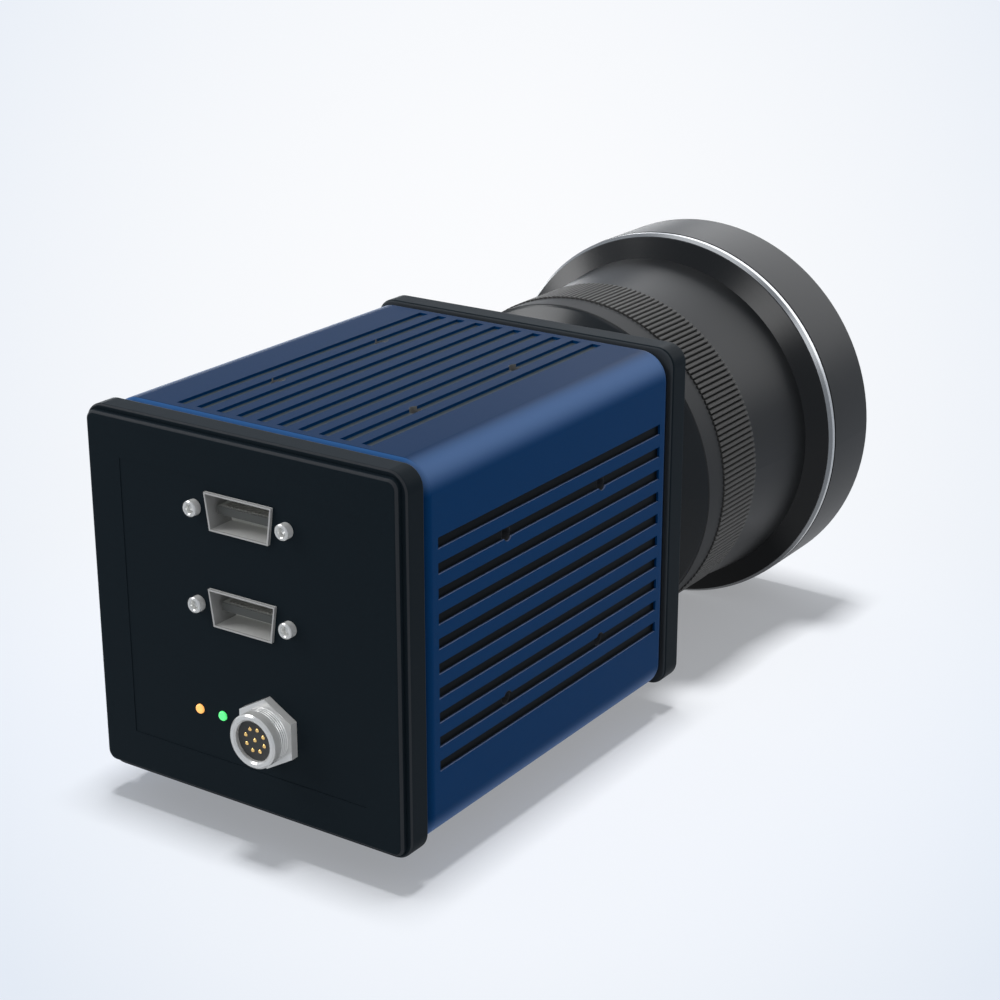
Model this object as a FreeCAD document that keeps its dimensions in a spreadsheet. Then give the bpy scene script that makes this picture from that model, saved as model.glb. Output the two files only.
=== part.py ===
import FreeCAD, Part
import os
import Sketcher

# Cooled infrared camera for gas leak imaging: a square extruded housing between two
# end caps, with data and power sockets at the rear and a large focusing lens in front.
# +Y is the optical axis, out of the lens. +Z is up. The lens bell touches z = 0.
# Inside each body the axis is x = z = 0 and the rear face of the rear cap is y = 0.

Vector = FreeCAD.Vector
doc = FreeCAD.newDocument("gas_imaging_camera")
dims = doc.addObject("Spreadsheet::Sheet", "dims")

DIMENSIONS = [
    ("bell_radius", 66.6, "radius of the lens's front bell"),
    ("lens_front", 261, "front edge of the lens"),
    ("socket_reach", 8.4, "how far the power socket stands out of the rear face"),
    ("rear_face", -1.1, "rear face of the raised rear plate"),
    ("housing_half", 55.9, "half the width of the housing"),
    ("housing_corner", 9, "corner radius of the housing"),
    ("housing_rear", 9.8, "rear end of the housing"),
    ("housing_front", 136.5, "front end of the housing"),
    ("housing_wall", 8, "wall of the housing"),
    ("housing_edge", 2.8, "rounding of the housing's ends"),
    ("groove_count", 10, "grooves on each side"),
    ("groove_width", 3.3, "width of a groove"),
    ("groove_pitch", 7.28, "distance from groove to groove"),
    ("groove_depth", 0.9, "depth of a groove"),
    ("groove_rear", 15, "rear end of the grooves"),
    ("groove_front", 131.5, "front end of the grooves"),
    ("thread_spacing", 50, "spacing of the threaded mounting holes both ways"),
    ("thread_radius", 2.1, "core radius of a threaded mounting hole"),
    ("thread_depth", 7, "depth of a threaded mounting hole"),
    ("cap_half", 56.3, "half the width of both end caps"),
    ("cap_corner", 6, "corner radius of both end caps"),
    ("cap_edge", 0.9, "rounding of the caps' edges"),
    ("step_edge", 0.8, "rounding of the rear cap's edge beside its raised plate"),
    ("plate_half", 54.6, "half the width of the raised rear plate"),
    ("plate_corner", 3, "corner radius of the raised rear plate"),
    ("plate_height", 2.1, "height of the raised rear plate"),
    ("plate_edge", 1.1, "rounding of the raised rear plate"),
    ("rear_cap_front", 8.8, "front face of the rear cap"),
    ("cap_back", 4.5, "where the hollow of the rear cap ends"),
    ("blind_floor", 1.5, "metal left behind the tie rods' blind holes"),
    ("cap_cavity", 47.9, "half the width of the hollow inside both caps and the housing"),
    ("recess_half", 42.4, "half the width of the shallow recess on the rear face"),
    ("recess_depth", 0.15, "depth of that recess"),
    ("seal_half", 54.2, "half the width of the two seals"),
    ("seal_corner", 8.5, "corner radius of the two seals"),
    ("front_cap_rear", 138, "rear face of the front cap"),
    ("front_cap_front", 146.3, "front face of the front cap"),
    ("front_cap_wall", 141.5, "where the front cap's solid wall begins"),
    ("head_seat", 1.5, "metal left under a sunk cap screw"),
    ("aperture_radius", 34, "opening of the front cap and of the lens mount"),
    ("rod_offset", 41, "distance of the tie rods from the axis, both ways"),
    ("rod_radius", 4, "radius of a tie rod"),
    ("rod_rear", 2, "rear end of a tie rod's thread"),
    ("rod_bore", 12, "depth of the thread in a tie rod's front end"),
    ("screw_radius", 2.5, "radius of a cap screw's shank"),
    ("screw_head", 4.25, "radius of a cap screw's head"),
    ("screw_grip", 10, "length of a cap screw inside its tie rod"),
    ("head_sunk", 0.4, "how far a cap screw's head lies below the front face"),
    ("head_edge", 0.4, "bevel of a cap screw's head"),
    ("key_flats", 4, "hexagon key size of a cap screw"),
    ("key_depth", 2.2, "depth of that hexagon"),
    ("data_across", 1.2, "place of both data sockets"),
    ("data_upper", 33.35, "height of the upper data socket"),
    ("data_lower", 4.72, "height of the lower data socket"),
    ("data_top", 23.9, "width of a data socket's top edge"),
    ("data_bottom", 20.9, "width of a data socket's bottom edge"),
    ("data_height", 11, "height of a data socket"),
    ("data_wall", 0.5, "sheet thickness of a data socket's shell"),
    ("data_proud", 0.85, "how far a shell stands out of the rear face"),
    ("data_floor", 7.1, "where the contact block's face lies"),
    ("tongue_width", 19, "width of the tongue that carries the contacts"),
    ("tongue_height", 2.4, "height of that tongue"),
    ("tongue_face", 0.9, "where that tongue's rear end lies"),
    ("board_gap", 1, "room between a socket's shell and the interface board"),
    ("jack_offset", 16.3, "distance of a jack post from the socket's centre"),
    ("jack_radius", 2.35, "radius of a jack post"),
    ("jack_proud", 2.3, "how far a jack post stands out of the rear face"),
    ("jack_edge", 0.3, "bevel of a jack post's rim, outside and inside"),
    ("jack_bore", 1.3, "radius of a jack post's thread"),
    ("jack_depth", 1.9, "depth of that thread"),
    ("jack_point", 0.6, "height of the drill's point below that thread"),
    ("jack_shank", 1.25, "radius of a jack post in the panel"),
    ("jack_tail", 3, "length of that shank past the panel"),
    ("lamp_row", -28.3, "height of the status lamps and the power socket"),
    ("amber_across", -16.65, "place of the amber status lamp"),
    ("green_across", -8.15, "place of the green status lamp"),
    ("lamp_radius", 1.45, "radius of a status lamp"),
    ("lamp_proud", 0.7, "how far a status lamp stands out of the recess"),
    ("lamp_edge", 0.5, "rounding of a status lamp's face"),
    ("socket_across", 9.4, "place of the power socket"),
    ("socket_radius", 8.1, "outer radius of the power socket"),
    ("socket_bore", 6.1, "bore of the power socket"),
    ("socket_edge", 0.5, "bevel of the power socket's rim"),
    ("socket_neck", 7.4, "radius of the power socket in the panel"),
    ("nut_flats", 18.5, "width of the power socket's nut across its flats"),
    ("nut_height", 2.5, "thickness of that nut"),
    ("insert_back", 1.6, "how far the insert lies behind the socket's rim"),
    ("pin_radius", 0.6, "radius of a contact pin"),
    ("pin_circle", 3.4, "radius of the ring of contact pins"),
    ("pin_ring_count", 8, "contact pins on that ring"),
    ("pin_ring_turn", 29, "angle of the first contact pin on that ring"),
    ("pin_proud", 0.3, "how far a contact pin stands out of the insert"),
    ("pin_edge", 0.2, "bevel of a contact pin's tip"),
    ("pin_hold", 4, "length of a contact pin inside the insert"),
    ("board_level", 14, "rear face of the interface board"),
    ("board_half", 46.5, "half the width of a circuit board"),
    ("board_thickness", 1.6, "thickness of a circuit board"),
    ("processor_level", 34, "rear face of the processing board"),
    ("bulkhead_rear", 112, "rear face of the detector bulkhead"),
    ("bulkhead_front", 116, "front face of the detector bulkhead"),
    ("spacer_radius", 5.4, "outer radius of a spacer tube"),
    ("rod_clearance", 0.05, "clearance round a tie rod"),
    ("dewar_radius", 20, "radius of the detector's vacuum flask"),
    ("dewar_rear", 84, "rear end of the detector's vacuum flask"),
    ("flange_radius", 26, "radius of the flask's flange"),
    ("flange_height", 4, "thickness of that flange"),
    ("snout_radius", 14, "radius of the flask's front"),
    ("snout_front", 124, "front end of the flask"),
    ("window_radius", 11, "radius of the flask's window and of the gas filter"),
    ("window_thickness", 1.5, "thickness of that window"),
    ("filter_thickness", 1, "thickness of the gas filter"),
    ("cooler_radius", 19, "radius of the cryocooler's motor"),
    ("cooler_half", 34, "half the length of the cryocooler's motor"),
    ("cooler_level", 60, "place of the cryocooler's motor along the axis"),
    ("saddle_width", 26.6, "width of the cooler's saddle along the axis"),
    ("finger_radius", 10, "radius of the cooler's cold finger"),
    ("mount_front", 150, "front face of the lens mount ring"),
    ("mount_radius", 50, "radius of the lens mount ring"),
    ("mount_screw_circle", 42, "radius of the mount screws' circle"),
    ("mount_screw_count", 6, "screws of the lens mount ring"),
    ("mount_screw_radius", 1.5, "radius of a mount screw's shank"),
    ("mount_screw_head", 2.75, "radius of a mount screw's head"),
    ("mount_head_height", 2.2, "height of a mount screw's head"),
    ("tail_radius", 47, "radius of the lens's rear end"),
    ("tail_front", 158, "where the lens starts to widen"),
    ("band_rear", 164, "rear edge of the plain band behind the focus ring"),
    ("band_radius", 56, "radius of that band"),
    ("band_edge", 0.8, "bevel of that band's rear edge"),
    ("ring_rear", 174.2, "rear face of the focus ring"),
    ("ring_front", 195.7, "front face of the focus ring"),
    ("ring_gap", 0.15, "room at each end of the focus ring"),
    ("knurl_radius", 56.5, "radius over the focus ring's teeth"),
    ("knurl_depth", 0.9, "depth of the focus ring's teeth"),
    ("knurl_teeth", 192, "teeth of the focus ring"),
    ("guide_radius", 51.5, "radius of the guide tube that the focus ring turns on"),
    ("guide_front", 200, "front end of the guide tube"),
    ("running_gap", 0.06, "radial clearance of the focus ring and the lens cell"),
    ("cell_radius", 45, "radius of the sliding lens cell"),
    ("cell_rear", 182, "rear end of the sliding lens cell"),
    ("cell_front", 196, "front end of the sliding lens cell"),
    ("cell_floor", 178, "rear end of the cell's guide bore"),
    ("cell_bore", 37, "clear radius of the sliding lens cell"),
    ("middle_glass_radius", 40, "radius of the middle lens"),
    ("middle_glass_rear", 185, "rear face of the middle lens"),
    ("middle_glass_vertex", 195, "foremost point of the middle lens"),
    ("middle_glass_curve", 120, "radius of curvature of the middle lens"),
    ("barrel_rear_radius", 55.2, "radius of the barrel behind"),
    ("barrel_front_radius", 58.4, "radius of the barrel at the flare"),
    ("flare_rear", 228.6, "where the flare begins"),
    ("flare_front", 231.6, "where the flare ends"),
    ("flare_radius", 65.4, "radius of the flare's edge"),
    ("barrel_bore", 48, "inner radius of the barrel behind"),
    ("barrel_step", 206, "where the barrel's bore starts to widen"),
    ("trim_rear", 232, "rear face of the bright trim ring"),
    ("trim_inner", 65.6, "radius of the trim ring's rear edge"),
    ("trim_radius", 66.5, "radius of the trim ring"),
    ("trim_taper", 1.2, "length of the trim ring's slope"),
    ("trim_front", 234.8, "front face of the bright trim ring"),
    ("bell_rear", 235.4, "rear edge of the bell"),
    ("bell_groove", 1, "depth of the dark groove behind the bell"),
    ("bell_edge", 0.8, "bevel of the bell's front edge"),
    ("mouth_bevel", 5, "bevel of the bell's mouth"),
    ("nose_radius", 60, "radius of the barrel's nose inside the bell"),
    ("nose_front", 240, "front end of that nose"),
    ("nose_bore", 53, "inner radius of that nose"),
    ("glass_radius", 57, "radius of the front lens"),
    ("glass_vertex", 255, "foremost point of the front lens"),
    ("glass_front_curve", 160, "radius of curvature of the front lens's front"),
    ("glass_back_curve", 210, "radius of curvature of the front lens's back"),
    ("glass_thickness", 7, "thickness of the front lens on the axis"),
    ("retainer_lip", 3, "how far the retaining ring covers the front lens"),
    ("retainer_height", 3.5, "height of the retaining ring"),
    ("retainer_slope", 1, "slope of the retaining ring's inside"),
    ("slot_width", 2.4, "width of the retaining ring's spanner slots"),
    ("slot_depth", 1.6, "depth of those slots"),
    ("rear_glass_rear", 155, "rear face of the rear lens"),
    ("rear_glass_vertex", 164, "foremost point of the rear lens"),
    ("rear_glass_curve", 90, "radius of curvature of the rear lens"),
    ("rear_ring_rear", 151, "rear face of the rear lens's ring"),
    ("rear_ring_bore", 31, "clear radius of the rear lens's ring"),
]

for row, (alias, value, meaning) in enumerate(DIMENSIONS, start=1):
    dims.set(f"A{row}", meaning)
    dims.set(f"B{row}", str(value))
    dims.setAlias(f"B{row}", alias)
doc.recompute()

# Where the optical axis and the rear face lie in the part's own frame.
FRAME_Y = "-(dims.lens_front + dims.rear_face - dims.socket_reach) / 2"
FRAME_Z = "dims.bell_radius"
SMALL = 0.01
sub_parts = []


def size(expression):
    """The value of an expression on the sheet, as a plain number."""
    return float(dims.evalExpression(expression))


def settle(thing, across="0", along="0", up="0"):
    """Puts an object at a place given by expressions in the optical frame."""
    thing.setExpression("Placement.Base.x", across)
    thing.setExpression("Placement.Base.y", f"{along} + {FRAME_Y}")
    thing.setExpression("Placement.Base.z", f"{up} + {FRAME_Z}")


def new_body(label, across="0", up="0", keep=True):
    """A body whose own origin lies on the rear face plane, at (across, up)."""
    body = doc.addObject("PartDesign::Body", label)
    body.Label = label
    settle(body, across, "0", up)
    if keep:
        sub_parts.append(body)
    return body


def origin_part(body, role):
    """One of a body's own origin planes or axes, by its role."""
    return next(item for item in body.Origin.OriginFeatures if item.Role == role)


def new_sketch(body, role, level="0"):
    """A sketch on an origin plane of the body, moved along the plane's normal."""
    sketch = body.newObject("Sketcher::SketchObject", body.Name + "_sketch")
    sketch.AttachmentSupport = [(origin_part(body, role), "")]
    sketch.MapMode = "FlatFace"
    sketch.setExpression("AttachmentOffset.Base.z", level)
    return sketch


def cross_sketch(body, along):
    """A sketch across the optical axis, x to the right and y up, at a distance along it."""
    return new_sketch(body, "XZ_Plane", f"-({along})")


def hold(sketch, geometry, point, across, up):
    """Fixes one point of a sketch at a place given by two expressions."""
    for kind, expression in (("DistanceX", across), ("DistanceY", up)):
        rule = Sketcher.Constraint(kind, -1, 1, geometry, point, size(expression))
        index = sketch.addConstraint(rule)
        sketch.setExpression(f"Constraints[{index}]", expression)


def draw_outline(sketch, corners):
    """A closed outline of straight edges through corners given as expressions."""
    places = [Vector(size(across), size(up), 0) for across, up in corners]
    count = len(corners)
    first = sketch.GeometryCount
    for index in range(count):
        sketch.addGeometry(Part.LineSegment(places[index], places[(index + 1) % count]))
    for index, (across, up) in enumerate(corners):
        following = first + (index + 1) % count
        sketch.addConstraint(Sketcher.Constraint("Coincident", first + index, 2, following, 1))
        hold(sketch, first + index, 1, across, up)


def draw_square(sketch, half):
    """A square about the sketch's origin."""
    draw_rectangle(sketch, f"-({half})", half, f"-({half})", half)


def draw_rectangle(sketch, left, right, low, high):
    """A rectangle between four expressions."""
    draw_outline(sketch, [(left, low), (right, low), (right, high), (left, high)])


def draw_circle(sketch, radius, across="0", up="0"):
    """A circle about a point given by expressions."""
    centre = Vector(size(across), size(up), 0)
    circle = sketch.addGeometry(Part.Circle(centre, Vector(0, 0, 1), size(radius)))
    hold(sketch, circle, 3, across, up)
    index = sketch.addConstraint(Sketcher.Constraint("Radius", circle, size(radius)))
    sketch.setExpression(f"Constraints[{index}]", radius)
    return circle


def made(feature):
    """Recomputes the document and stops at once if the new feature failed."""
    doc.recompute()
    if not feature.isValid():
        raise RuntimeError(f"{feature.Name} failed: {feature.getStatusString()}")
    return feature


def pad(body, sketch, length):
    """Extrudes a cross sketch forward along the optical axis."""
    feature = body.newObject("PartDesign::Pad", body.Name + "_pad")
    feature.Profile = sketch
    feature.setExpression("Length", length)
    feature.Reversed = True
    return made(feature)


def pocket(body, sketch, depth, rearward=False):
    """Cuts a sketch forward or rearward, or down from above, and checks that it cut."""
    before = body.Shape.Volume
    feature = body.newObject("PartDesign::Pocket", body.Name + "_pocket")
    feature.Profile = sketch
    feature.setExpression("Length", depth)
    feature.Reversed = rearward
    made(feature)
    if body.Shape.Volume > before - SMALL:
        raise RuntimeError(f"{feature.Name} cuts nothing")
    return feature


def turn(body, corners):
    """Revolves an outline of (radius, distance along the axis) about the optical axis."""
    sketch = new_sketch(body, "XY_Plane")
    draw_outline(sketch, corners)
    feature = body.newObject("PartDesign::Revolution", body.Name + "_turned")
    feature.Profile = sketch
    feature.ReferenceAxis = (sketch, ["V_Axis"])
    feature.Angle = 360
    return made(feature)


def round_edges(body, radius, wanted):
    """Rounds the edges of the body's last feature that a test picks."""
    tip = body.Tip
    names = [f"Edge{number}" for number, edge in enumerate(tip.Shape.Edges, start=1) if wanted(edge)]
    feature = body.newObject("PartDesign::Fillet", body.Name + "_fillet")
    feature.Base = (tip, names)
    feature.setExpression("Radius", radius)
    return made(feature)


def along_axis(edge, offset):
    """Tells a straight corner edge that runs along the axis at (offset, offset)."""
    box = edge.BoundBox
    straight = box.YLength > SMALL and box.XLength < SMALL and box.ZLength < SMALL
    return straight and abs(abs(box.Center.x) - offset) < SMALL and abs(abs(box.Center.z) - offset) < SMALL


def on_rim(edge, level, half, corner):
    """Tells an edge of the outer boundary of a rounded square at one level of the axis."""
    box = edge.BoundBox
    flat = abs(box.YMin - level) < SMALL and abs(box.YMax - level) < SMALL
    reach = max(abs(box.XMin), abs(box.XMax), abs(box.ZMin), abs(box.ZMax))
    inner = half - corner - SMALL
    outside = abs(box.Center.x) > inner or abs(box.Center.z) > inner
    return flat and outside and abs(reach - half) < SMALL


def round_corners(body, half, radius):
    """Rounds the four corner edges at a half width."""
    return round_edges(body, radius, lambda edge: along_axis(edge, size(half)))


def round_rim(body, level, half, corner, radius):
    """Rounds the rim of a rounded square at one level of the axis."""
    return round_edges(
        body, radius, lambda edge: on_rim(edge, size(level), size(half), size(corner))
    )


def pattern(body, feature, steps):
    """Repeats a cut: each step is ("line", axis, length, count) or ("turn", count)."""
    many = body.newObject("PartDesign::MultiTransform", body.Name + "_pattern")
    many.Originals = [feature]
    moves = []
    for step in steps:
        if step[0] == "line":
            move = body.newObject("PartDesign::LinearPattern", body.Name + "_row")
            move.Direction = (feature.Profile[0], [step[1]])
            move.setExpression("Length", step[2])
            move.setExpression("Occurrences", step[3])
        else:
            move = body.newObject("PartDesign::PolarPattern", body.Name + "_sides")
            move.Axis = (origin_part(body, "Y_Axis"), [""])
            move.Angle = 360
            move.setExpression("Occurrences", step[1])
        moves.append(move)
    many.Transformations = moves
    body.Tip = many
    return made(many)


def group(label, pieces):
    """One node of separate like solids."""
    node = doc.addObject("Part::Compound", label)
    node.Label = label
    node.Links = pieces
    sub_parts.append(node)
    return node


SIGNS = [(-1, -1), (1, -1), (1, 1), (-1, 1)]
SIDES = "4"


def rod_places():
    """The four tie rod axes, as pairs of expressions."""
    return [(f"{across} * dims.rod_offset", f"{up} * dims.rod_offset") for across, up in SIGNS]


# Housing: a square aluminium extrusion with long shallow grooves, rounded at both ends,
# and four threaded mounting holes on each side.
def make_housing():
    body = new_body("housing")
    sketch = cross_sketch(body, "dims.housing_rear")
    draw_square(sketch, "dims.housing_half")
    draw_square(sketch, "dims.housing_half - dims.housing_wall")
    pad(body, sketch, "dims.housing_front - dims.housing_rear")
    round_corners(body, "dims.housing_half", "dims.housing_corner")
    round_corners(body, "dims.housing_half - dims.housing_wall", "dims.housing_corner / 4")
    for level in ("dims.housing_rear", "dims.housing_front"):
        round_rim(body, level, "dims.housing_half", "dims.housing_corner", "dims.housing_edge")
    sketch = new_sketch(body, "XY_Plane", "dims.housing_half")
    first = "dims.groove_pitch * (dims.groove_count - 1) / 2"
    draw_rectangle(
        sketch,
        f"-{first} - dims.groove_width / 2",
        f"-{first} + dims.groove_width / 2",
        "dims.groove_rear",
        "dims.groove_front",
    )
    groove = pocket(body, sketch, "dims.groove_depth")
    row = ("line", "H_Axis", "dims.groove_pitch * (dims.groove_count - 1)", "dims.groove_count")
    pattern(body, groove, [row, ("turn", SIDES)])
    sketch = new_sketch(body, "XY_Plane", "dims.housing_half")
    middle = "(dims.groove_rear + dims.groove_front) / 2"
    spacing = "dims.thread_spacing"
    draw_circle(sketch, "dims.thread_radius", f"-{spacing} / 2", f"{middle} - {spacing} / 2")
    hole = pocket(body, sketch, "dims.thread_depth")
    rows = [("line", "H_Axis", spacing, "2"), ("line", "V_Axis", spacing, "2")]
    pattern(body, hole, rows + [("turn", SIDES)])


def data_outline(sketch, margin, across="0", level="0"):
    """A data socket's outline, wider at the top, grown by a margin all round."""
    low = f"{level} - dims.data_height / 2 - {margin}"
    high = f"{level} + dims.data_height / 2 + {margin}"
    corners = [
        (f"{across} - dims.data_bottom / 2 - {margin}", low),
        (f"{across} + dims.data_bottom / 2 + {margin}", low),
        (f"{across} + dims.data_top / 2 + {margin}", high),
        (f"{across} - dims.data_top / 2 - {margin}", high),
    ]
    draw_outline(sketch, corners)


DATA_LEVELS = {"upper": "dims.data_upper", "lower": "dims.data_lower"}
LAMPS = {"amber": "dims.amber_across", "green": "dims.green_across"}


# Rear cap: machined from plate, hollow towards the housing, with a raised rear plate,
# a shallow square recess and the cut-outs for sockets, posts and lamps.
def make_rear_cap():
    body = new_body("rear_cap")
    step = "dims.rear_face + dims.plate_height"
    sketch = cross_sketch(body, "dims.rear_face")
    draw_square(sketch, "dims.plate_half")
    pad(body, sketch, "dims.plate_height")
    round_corners(body, "dims.plate_half", "dims.plate_corner")
    sketch = cross_sketch(body, step)
    draw_square(sketch, "dims.cap_half")
    pad(body, sketch, f"dims.rear_cap_front - ({step})")
    round_corners(body, "dims.cap_half", "dims.cap_corner")
    round_rim(body, "dims.rear_face", "dims.plate_half", "dims.plate_corner", "dims.plate_edge")
    round_rim(body, step, "dims.cap_half", "dims.cap_corner", "dims.step_edge")
    round_rim(body, "dims.rear_cap_front", "dims.cap_half", "dims.cap_corner", "dims.cap_edge")
    sketch = cross_sketch(body, "dims.rear_cap_front")
    draw_square(sketch, "dims.cap_cavity")
    pocket(body, sketch, "dims.rear_cap_front - dims.cap_back", rearward=True)
    round_corners(body, "dims.cap_cavity", "dims.cap_corner / 2")
    sketch = cross_sketch(body, "dims.rear_face")
    draw_square(sketch, "dims.recess_half")
    pocket(body, sketch, "dims.recess_depth")
    sketch = cross_sketch(body, "dims.rear_face")
    for level in DATA_LEVELS.values():
        data_outline(sketch, "0", "dims.data_across", level)
        for side in (-1, 1):
            draw_circle(sketch, "dims.jack_shank", f"dims.data_across + {side} * dims.jack_offset", level)
    for across in LAMPS.values():
        draw_circle(sketch, "dims.lamp_radius", across, "dims.lamp_row")
    draw_circle(sketch, "dims.socket_neck", "dims.socket_across", "dims.lamp_row")
    pocket(body, sketch, "dims.rear_cap_front - dims.rear_face")
    sketch = cross_sketch(body, "dims.cap_back")
    for across, up in rod_places():
        draw_circle(sketch, "dims.screw_radius + dims.rod_clearance", across, up)
    pocket(body, sketch, "dims.cap_back - dims.blind_floor", rearward=True)


# Seals: square rubber frames between the housing's ends and the caps.
def make_seal(label, rear, front):
    body = new_body(label)
    sketch = cross_sketch(body, rear)
    draw_square(sketch, "dims.seal_half")
    draw_square(sketch, "dims.cap_cavity")
    pad(body, sketch, f"{front} - {rear}")
    round_corners(body, "dims.seal_half", "dims.seal_corner")


# Front cap: the same square section, with the opening for the lens and four screws sunk
# in counterbores at its corners.
def make_front_cap():
    body = new_body("front_cap")
    sketch = cross_sketch(body, "dims.front_cap_rear")
    draw_square(sketch, "dims.cap_half")
    pad(body, sketch, "dims.front_cap_front - dims.front_cap_rear")
    round_corners(body, "dims.cap_half", "dims.cap_corner")
    for level in ("dims.front_cap_rear", "dims.front_cap_front"):
        round_rim(body, level, "dims.cap_half", "dims.cap_corner", "dims.cap_edge")
    sketch = cross_sketch(body, "dims.front_cap_rear")
    draw_square(sketch, "dims.cap_cavity")
    pocket(body, sketch, "dims.front_cap_wall - dims.front_cap_rear")
    sketch = cross_sketch(body, "dims.front_cap_front")
    draw_circle(sketch, "dims.aperture_radius")
    for across, up in rod_places():
        draw_circle(sketch, "dims.screw_radius + dims.rod_clearance", across, up)
    for across, up in mount_screw_places():
        draw_circle(sketch, "dims.mount_screw_radius + dims.rod_clearance", across, up)
    pocket(body, sketch, "dims.front_cap_front - dims.front_cap_rear", rearward=True)
    sketch = cross_sketch(body, "dims.front_cap_front")
    for across, up in rod_places():
        draw_circle(sketch, "dims.screw_head + dims.rod_clearance", across, up)
    pocket(body, sketch, "dims.front_cap_front - dims.front_cap_wall - dims.head_seat", rearward=True)


def hexagon(sketch, flats):
    """A hexagon with one corner up."""
    corner = f"{flats} / sqrt(3)"
    half = f"{flats} / 2"
    corners = [
        ("0", f"-{corner}"),
        (half, f"-{corner} / 2"),
        (half, f"{corner} / 2"),
        ("0", corner),
        (f"-{half}", f"{corner} / 2"),
        (f"-{half}", f"-{corner} / 2"),
    ]
    draw_outline(sketch, corners)


# Cap screws: socket heads in the front cap, screwed into the tie rods.
def make_cap_screws():
    seat = "dims.front_cap_wall + dims.head_seat"
    top = "dims.front_cap_front - dims.head_sunk"
    tip = "dims.front_cap_wall - dims.screw_grip"
    screws = []
    for number, (across, up) in enumerate(rod_places(), start=1):
        body = new_body(f"cap_screw_{number}", across, up, keep=False)
        turn(body, [
            ("0", tip),
            ("dims.screw_radius", tip),
            ("dims.screw_radius", seat),
            ("dims.screw_head", seat),
            ("dims.screw_head", f"{top} - dims.head_edge"),
            ("dims.screw_head - dims.head_edge", top),
            ("0", top),
        ])
        sketch = cross_sketch(body, top)
        hexagon(sketch, "dims.key_flats")
        pocket(body, sketch, "dims.key_depth", rearward=True)
        screws.append(body)
    group("front_cap_screws", screws)


# Tie rods: from the rear cap, through boards and bulkhead, to the screws of the front cap.
def make_tie_rods():
    rods = []
    bore = "dims.screw_radius + dims.rod_clearance"
    bottom = "dims.front_cap_wall - dims.rod_bore"
    for number, (across, up) in enumerate(rod_places(), start=1):
        body = new_body(f"tie_rod_{number}", across, up, keep=False)
        turn(body, [
            ("0", "dims.rod_rear"),
            ("dims.screw_radius", "dims.rod_rear"),
            ("dims.screw_radius", "dims.cap_back"),
            ("dims.rod_radius", "dims.cap_back"),
            ("dims.rod_radius", "dims.front_cap_wall"),
            (bore, "dims.front_cap_wall"),
            (bore, bottom),
            ("0", bottom),
        ])
        rods.append(body)
    group("tie_rods", rods)


# Spacer tubes on the tie rods hold the boards and the bulkhead apart.
def make_spacers():
    board_front = "dims.board_level + dims.board_thickness"
    processor_front = "dims.processor_level + dims.board_thickness"
    spans = [
        ("dims.cap_back", "dims.board_level"),
        (board_front, "dims.processor_level"),
        (processor_front, "dims.bulkhead_rear"),
        ("dims.bulkhead_front", "dims.front_cap_wall"),
    ]
    inner = "dims.rod_radius + dims.rod_clearance"
    tubes = []
    for across, up in rod_places():
        for rear, front in spans:
            body = new_body(f"spacer_{len(tubes) + 1}", across, up, keep=False)
            outline = [(inner, rear), ("dims.spacer_radius", rear)]
            turn(body, outline + [("dims.spacer_radius", front), (inner, front)])
            tubes.append(body)
    group("spacer_tubes", tubes)


# Chips of each board: left, right, low and high edge and height.
INTERFACE_CHIPS = [(-30, -14, -12, 6, 2), (12, 32, -34, -22, 3)]
PROCESSOR_CHIPS = [(-15, 15, -15, 15, 4), (22, 34, -10, 22, 2)]


# Circuit boards: glass-fibre boards on the tie rods, each with the blocks of its chips.
def make_board(label, level, chips):
    body = new_body(label)
    sketch = cross_sketch(body, level)
    draw_square(sketch, "dims.board_half")
    for across, up in rod_places():
        draw_circle(sketch, "dims.rod_radius + dims.rod_clearance", across, up)
    pad(body, sketch, "dims.board_thickness")
    front = f"{level} + dims.board_thickness"
    for left, right, low, high, height in chips:
        sketch = cross_sketch(body, front)
        draw_rectangle(sketch, str(left), str(right), str(low), str(high))
        pad(body, sketch, str(height))


# Data sockets: a folded sheet shell, open to the rear, closed inside by a block with a
# tongue that carries the contacts.
def make_data_socket(name, level):
    rim = "dims.rear_face - dims.data_proud"
    shell = new_body(f"{name}_data_shell", "dims.data_across", level)
    sketch = cross_sketch(shell, rim)
    data_outline(sketch, "0")
    data_outline(sketch, "(-dims.data_wall)")
    pad(shell, sketch, f"dims.board_level - dims.board_gap - ({rim})")
    block = new_body(f"{name}_data_contacts", "dims.data_across", level)
    sketch = cross_sketch(block, "dims.data_floor")
    data_outline(sketch, "(-dims.data_wall)")
    pad(block, sketch, "dims.board_level - dims.data_floor")
    sketch = cross_sketch(block, "dims.tongue_face")
    width = "dims.tongue_width / 2"
    height = "dims.tongue_height / 2"
    draw_rectangle(sketch, f"-{width}", width, f"-{height}", height)
    pad(block, sketch, "dims.data_floor - dims.tongue_face")


# Jack posts: turned posts beside the data sockets, with a thread for the plug's screw.
def make_jack_posts():
    posts = []
    rim = "dims.rear_face - dims.jack_proud"
    face = "dims.rear_face + dims.recess_depth"
    tail = "dims.cap_back + dims.jack_tail"
    bottom = f"{rim} + dims.jack_depth"
    for name, level in DATA_LEVELS.items():
        for side in (-1, 1):
            across = f"dims.data_across + {side} * dims.jack_offset"
            body = new_body(f"jack_{name}_{side + 2}", across, level, keep=False)
            turn(body, [
                ("dims.jack_bore + dims.jack_edge", rim),
                ("dims.jack_radius - dims.jack_edge", rim),
                ("dims.jack_radius", f"{rim} + dims.jack_edge"),
                ("dims.jack_radius", face),
                ("dims.jack_shank", face),
                ("dims.jack_shank", tail),
                ("0", tail),
                ("0", f"{bottom} + dims.jack_point"),
                ("dims.jack_bore", bottom),
                ("dims.jack_bore", f"{rim} + dims.jack_edge"),
            ])
            posts.append(body)
    group("jack_posts", posts)


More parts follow.
